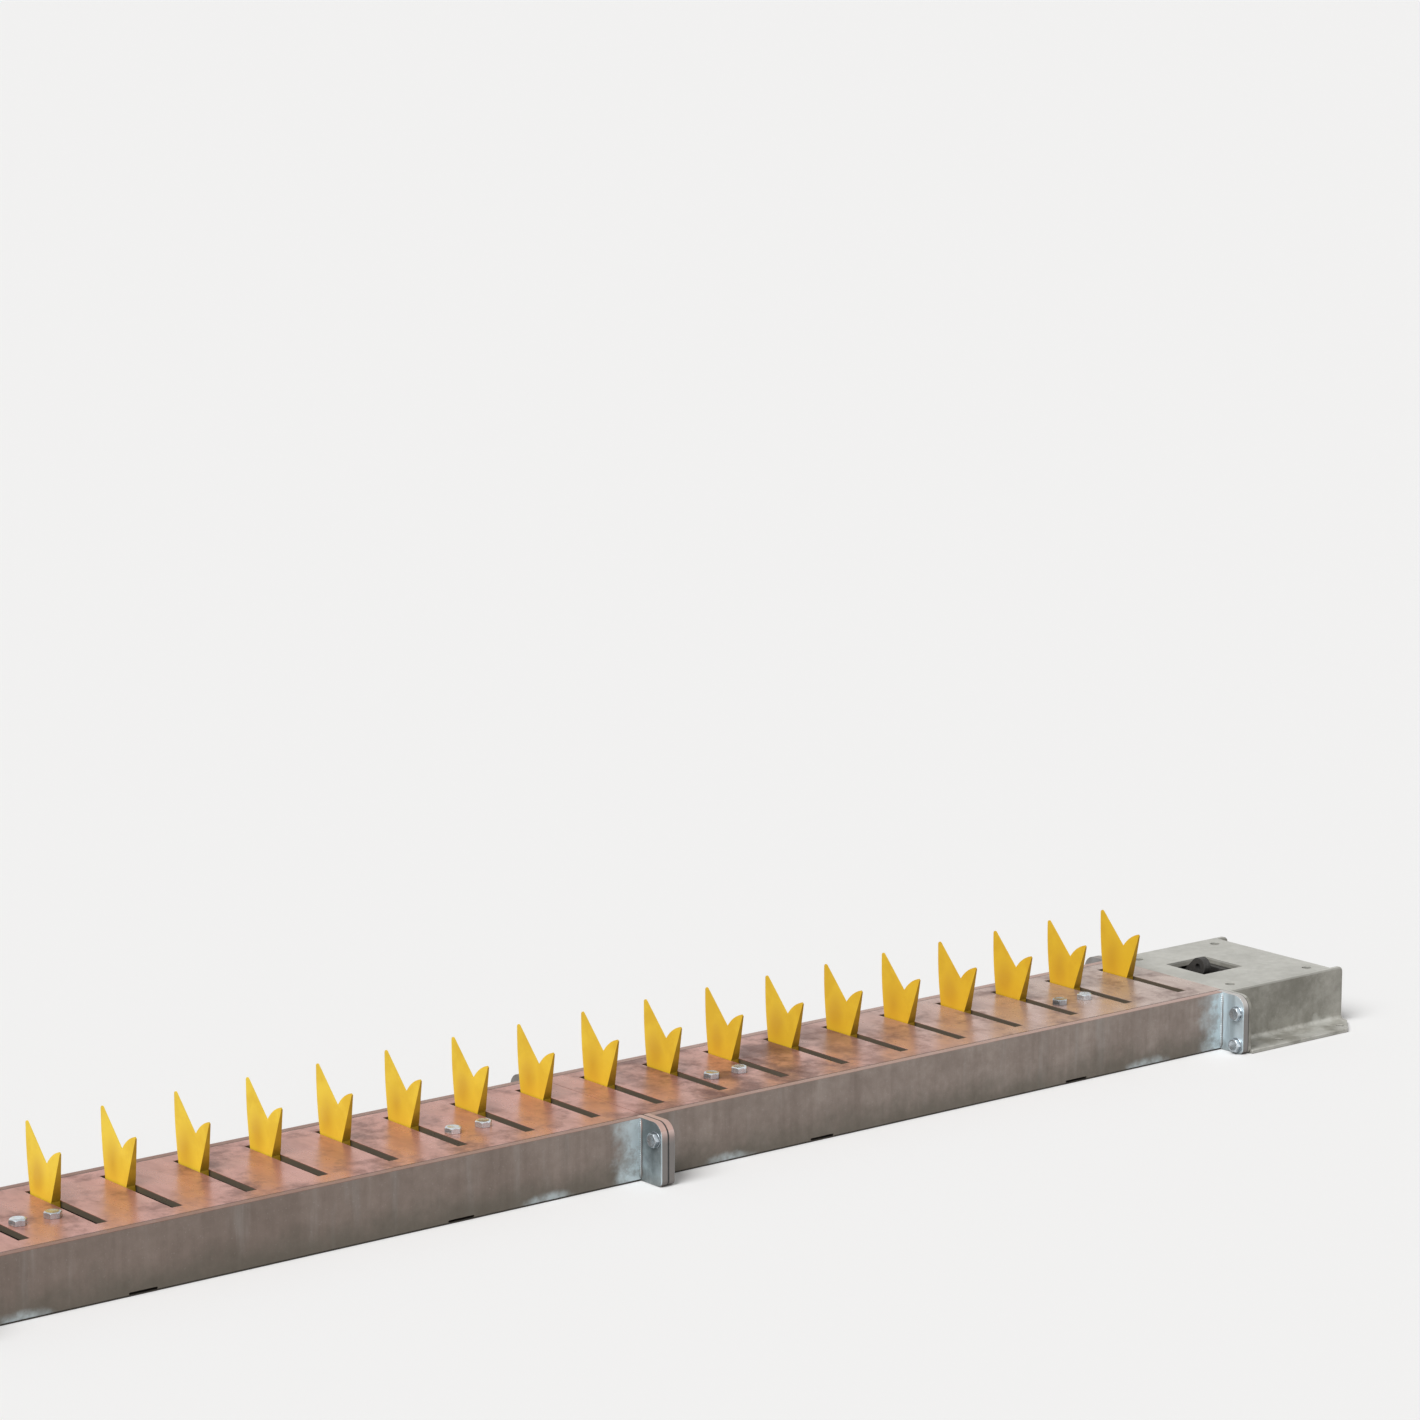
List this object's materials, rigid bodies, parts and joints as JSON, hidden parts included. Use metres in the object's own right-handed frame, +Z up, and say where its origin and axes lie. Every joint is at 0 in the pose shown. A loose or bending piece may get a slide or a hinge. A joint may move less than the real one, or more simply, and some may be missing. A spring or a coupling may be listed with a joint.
{
  "type": "tyre spike strip",
  "caption": "Low steel road strip whose row of forked yellow spikes folds down into a slotted cover; flanged sections on one shaft, with a drive base at the end.",
  "frame": {"origin": "on the ground under the middle of the whole length and width", "axes": "+X along the strip towards the drive base, +Y to the back where the shaft lies, +Z up; the spikes' tips swing forward to -Y when they fold"},
  "size_m": [2.226, 0.32, 0.1665],
  "materials": {
    "rail": "weathered zinc, brownish with road dust",
    "flange": "matt zinc with bright spots by the welds",
    "cover": "glossy, pinkish grey",
    "spike": "golden yellow powder coat, satin",
    "base": "greenish grey, mottled",
    "fastener": "bright zinc plate",
    "inner_steel": "dark primer",
    "shaft": "drawn bar, oiled",
    "spring": "black spring steel",
    "bronze": "plain bearing bronze"
  },
  "bodies": {
    "strip_frame": {"front_rail_left": "rail", "front_rail_right": "rail", "back_rail_left": "rail", "back_rail_right": "rail", "left_end_flange": "flange", "middle_flange_left": "flange", "middle_flange_right": "flange", "drive_end_flange": "flange", "cover_left": "cover", "cover_right": "cover", "cross_members": "inner_steel", "shaft_bushes": "bronze", "cover_bolts": "fastener", "joint_bolts": "fastener", "joint_washers": "fastener", "anchor_lugs": "flange", "base_front_wall": "base", "base_back_wall": "base", "base_end_plate": "base", "base_top_plate": "base", "base_outer_wall": "base", "bearing_brackets": "inner_steel"},
    "lay_shaft": {"shaft_left": "shaft", "shaft_right": "shaft", "crank_shaft": "shaft", "crank_lever": "inner_steel", "coupling_hubs": "inner_steel", "coupling_pins": "fastener", "stop_collars": "inner_steel", "collar_pins": "fastener", "return_springs": "spring", "retaining_rings": "fastener"},
    "spike_01": {"spike_01": "spike"},
    "spike_02": {"spike_02": "spike"},
    "spike_03": {"spike_03": "spike"},
    "spike_04": {"spike_04": "spike"},
    "spike_05": {"spike_05": "spike"},
    "spike_06": {"spike_06": "spike"},
    "spike_07": {"spike_07": "spike"},
    "spike_08": {"spike_08": "spike"},
    "spike_09": {"spike_09": "spike"},
    "spike_10": {"spike_10": "spike"},
    "spike_11": {"spike_11": "spike"},
    "spike_12": {"spike_12": "spike"},
    "spike_13": {"spike_13": "spike"},
    "spike_14": {"spike_14": "spike"},
    "spike_15": {"spike_15": "spike"},
    "spike_16": {"spike_16": "spike"},
    "spike_17": {"spike_17": "spike"},
    "spike_18": {"spike_18": "spike"},
    "spike_19": {"spike_19": "spike"},
    "spike_20": {"spike_20": "spike"}
  },
  "joints": [
    {"name": "shaft_turn", "type": "hinge", "parent": "strip_frame", "child": "lay_shaft", "pos_m": [0, 0.0457, 0.046], "axis": [-1, 0, 0], "range_deg": [-90, 0]},
    {"name": "spike_01_fold", "type": "hinge", "parent": "lay_shaft", "child": "spike_01", "pos_m": [-1.063, 0.0457, 0.046], "axis": [1, 0, 0], "range_deg": [0, 90], "stiffness_Nm_per_rad": 1.2, "springref_deg": -24.06},
    {"name": "spike_02_fold", "type": "hinge", "parent": "lay_shaft", "child": "spike_02", "pos_m": [-0.963, 0.0457, 0.046], "axis": [1, 0, 0], "range_deg": [0, 90], "stiffness_Nm_per_rad": 1.2, "springref_deg": -24.06},
    {"name": "spike_03_fold", "type": "hinge", "parent": "lay_shaft", "child": "spike_03", "pos_m": [-0.863, 0.0457, 0.046], "axis": [1, 0, 0], "range_deg": [0, 90], "stiffness_Nm_per_rad": 1.2, "springref_deg": -24.06},
    {"name": "spike_04_fold", "type": "hinge", "parent": "lay_shaft", "child": "spike_04", "pos_m": [-0.763, 0.0457, 0.046], "axis": [1, 0, 0], "range_deg": [0, 90], "stiffness_Nm_per_rad": 1.2, "springref_deg": -24.06},
    {"name": "spike_05_fold", "type": "hinge", "parent": "lay_shaft", "child": "spike_05", "pos_m": [-0.663, 0.0457, 0.046], "axis": [1, 0, 0], "range_deg": [0, 90], "stiffness_Nm_per_rad": 1.2, "springref_deg": -24.06},
    {"name": "spike_06_fold", "type": "hinge", "parent": "lay_shaft", "child": "spike_06", "pos_m": [-0.563, 0.0457, 0.046], "axis": [1, 0, 0], "range_deg": [0, 90], "stiffness_Nm_per_rad": 1.2, "springref_deg": -24.06},
    {"name": "spike_07_fold", "type": "hinge", "parent": "lay_shaft", "child": "spike_07", "pos_m": [-0.463, 0.0457, 0.046], "axis": [1, 0, 0], "range_deg": [0, 90], "stiffness_Nm_per_rad": 1.2, "springref_deg": -24.06},
    {"name": "spike_08_fold", "type": "hinge", "parent": "lay_shaft", "child": "spike_08", "pos_m": [-0.363, 0.0457, 0.046], "axis": [1, 0, 0], "range_deg": [0, 90], "stiffness_Nm_per_rad": 1.2, "springref_deg": -24.06},
    {"name": "spike_09_fold", "type": "hinge", "parent": "lay_shaft", "child": "spike_09", "pos_m": [-0.263, 0.0457, 0.046], "axis": [1, 0, 0], "range_deg": [0, 90], "stiffness_Nm_per_rad": 1.2, "springref_deg": -24.06},
    {"name": "spike_10_fold", "type": "hinge", "parent": "lay_shaft", "child": "spike_10", "pos_m": [-0.163, 0.0457, 0.046], "axis": [1, 0, 0], "range_deg": [0, 90], "stiffness_Nm_per_rad": 1.2, "springref_deg": -24.06},
    {"name": "spike_11_fold", "type": "hinge", "parent": "lay_shaft", "child": "spike_11", "pos_m": [-0.063, 0.0457, 0.046], "axis": [1, 0, 0], "range_deg": [0, 90], "stiffness_Nm_per_rad": 1.2, "springref_deg": -24.06},
    {"name": "spike_12_fold", "type": "hinge", "parent": "lay_shaft", "child": "spike_12", "pos_m": [0.037, 0.0457, 0.046], "axis": [1, 0, 0], "range_deg": [0, 90], "stiffness_Nm_per_rad": 1.2, "springref_deg": -24.06},
    {"name": "spike_13_fold", "type": "hinge", "parent": "lay_shaft", "child": "spike_13", "pos_m": [0.137, 0.0457, 0.046], "axis": [1, 0, 0], "range_deg": [0, 90], "stiffness_Nm_per_rad": 1.2, "springref_deg": -24.06},
    {"name": "spike_14_fold", "type": "hinge", "parent": "lay_shaft", "child": "spike_14", "pos_m": [0.237, 0.0457, 0.046], "axis": [1, 0, 0], "range_deg": [0, 90], "stiffness_Nm_per_rad": 1.2, "springref_deg": -24.06},
    {"name": "spike_15_fold", "type": "hinge", "parent": "lay_shaft", "child": "spike_15", "pos_m": [0.337, 0.0457, 0.046], "axis": [1, 0, 0], "range_deg": [0, 90], "stiffness_Nm_per_rad": 1.2, "springref_deg": -24.06},
    {"name": "spike_16_fold", "type": "hinge", "parent": "lay_shaft", "child": "spike_16", "pos_m": [0.437, 0.0457, 0.046], "axis": [1, 0, 0], "range_deg": [0, 90], "stiffness_Nm_per_rad": 1.2, "springref_deg": -24.06},
    {"name": "spike_17_fold", "type": "hinge", "parent": "lay_shaft", "child": "spike_17", "pos_m": [0.537, 0.0457, 0.046], "axis": [1, 0, 0], "range_deg": [0, 90], "stiffness_Nm_per_rad": 1.2, "springref_deg": -24.06},
    {"name": "spike_18_fold", "type": "hinge", "parent": "lay_shaft", "child": "spike_18", "pos_m": [0.637, 0.0457, 0.046], "axis": [1, 0, 0], "range_deg": [0, 90], "stiffness_Nm_per_rad": 1.2, "springref_deg": -24.06},
    {"name": "spike_19_fold", "type": "hinge", "parent": "lay_shaft", "child": "spike_19", "pos_m": [0.737, 0.0457, 0.046], "axis": [1, 0, 0], "range_deg": [0, 90], "stiffness_Nm_per_rad": 1.2, "springref_deg": -24.06},
    {"name": "spike_20_fold", "type": "hinge", "parent": "lay_shaft", "child": "spike_20", "pos_m": [0.837, 0.0457, 0.046], "axis": [1, 0, 0], "range_deg": [0, 90], "stiffness_Nm_per_rad": 1.2, "springref_deg": -24.06}
  ]
}
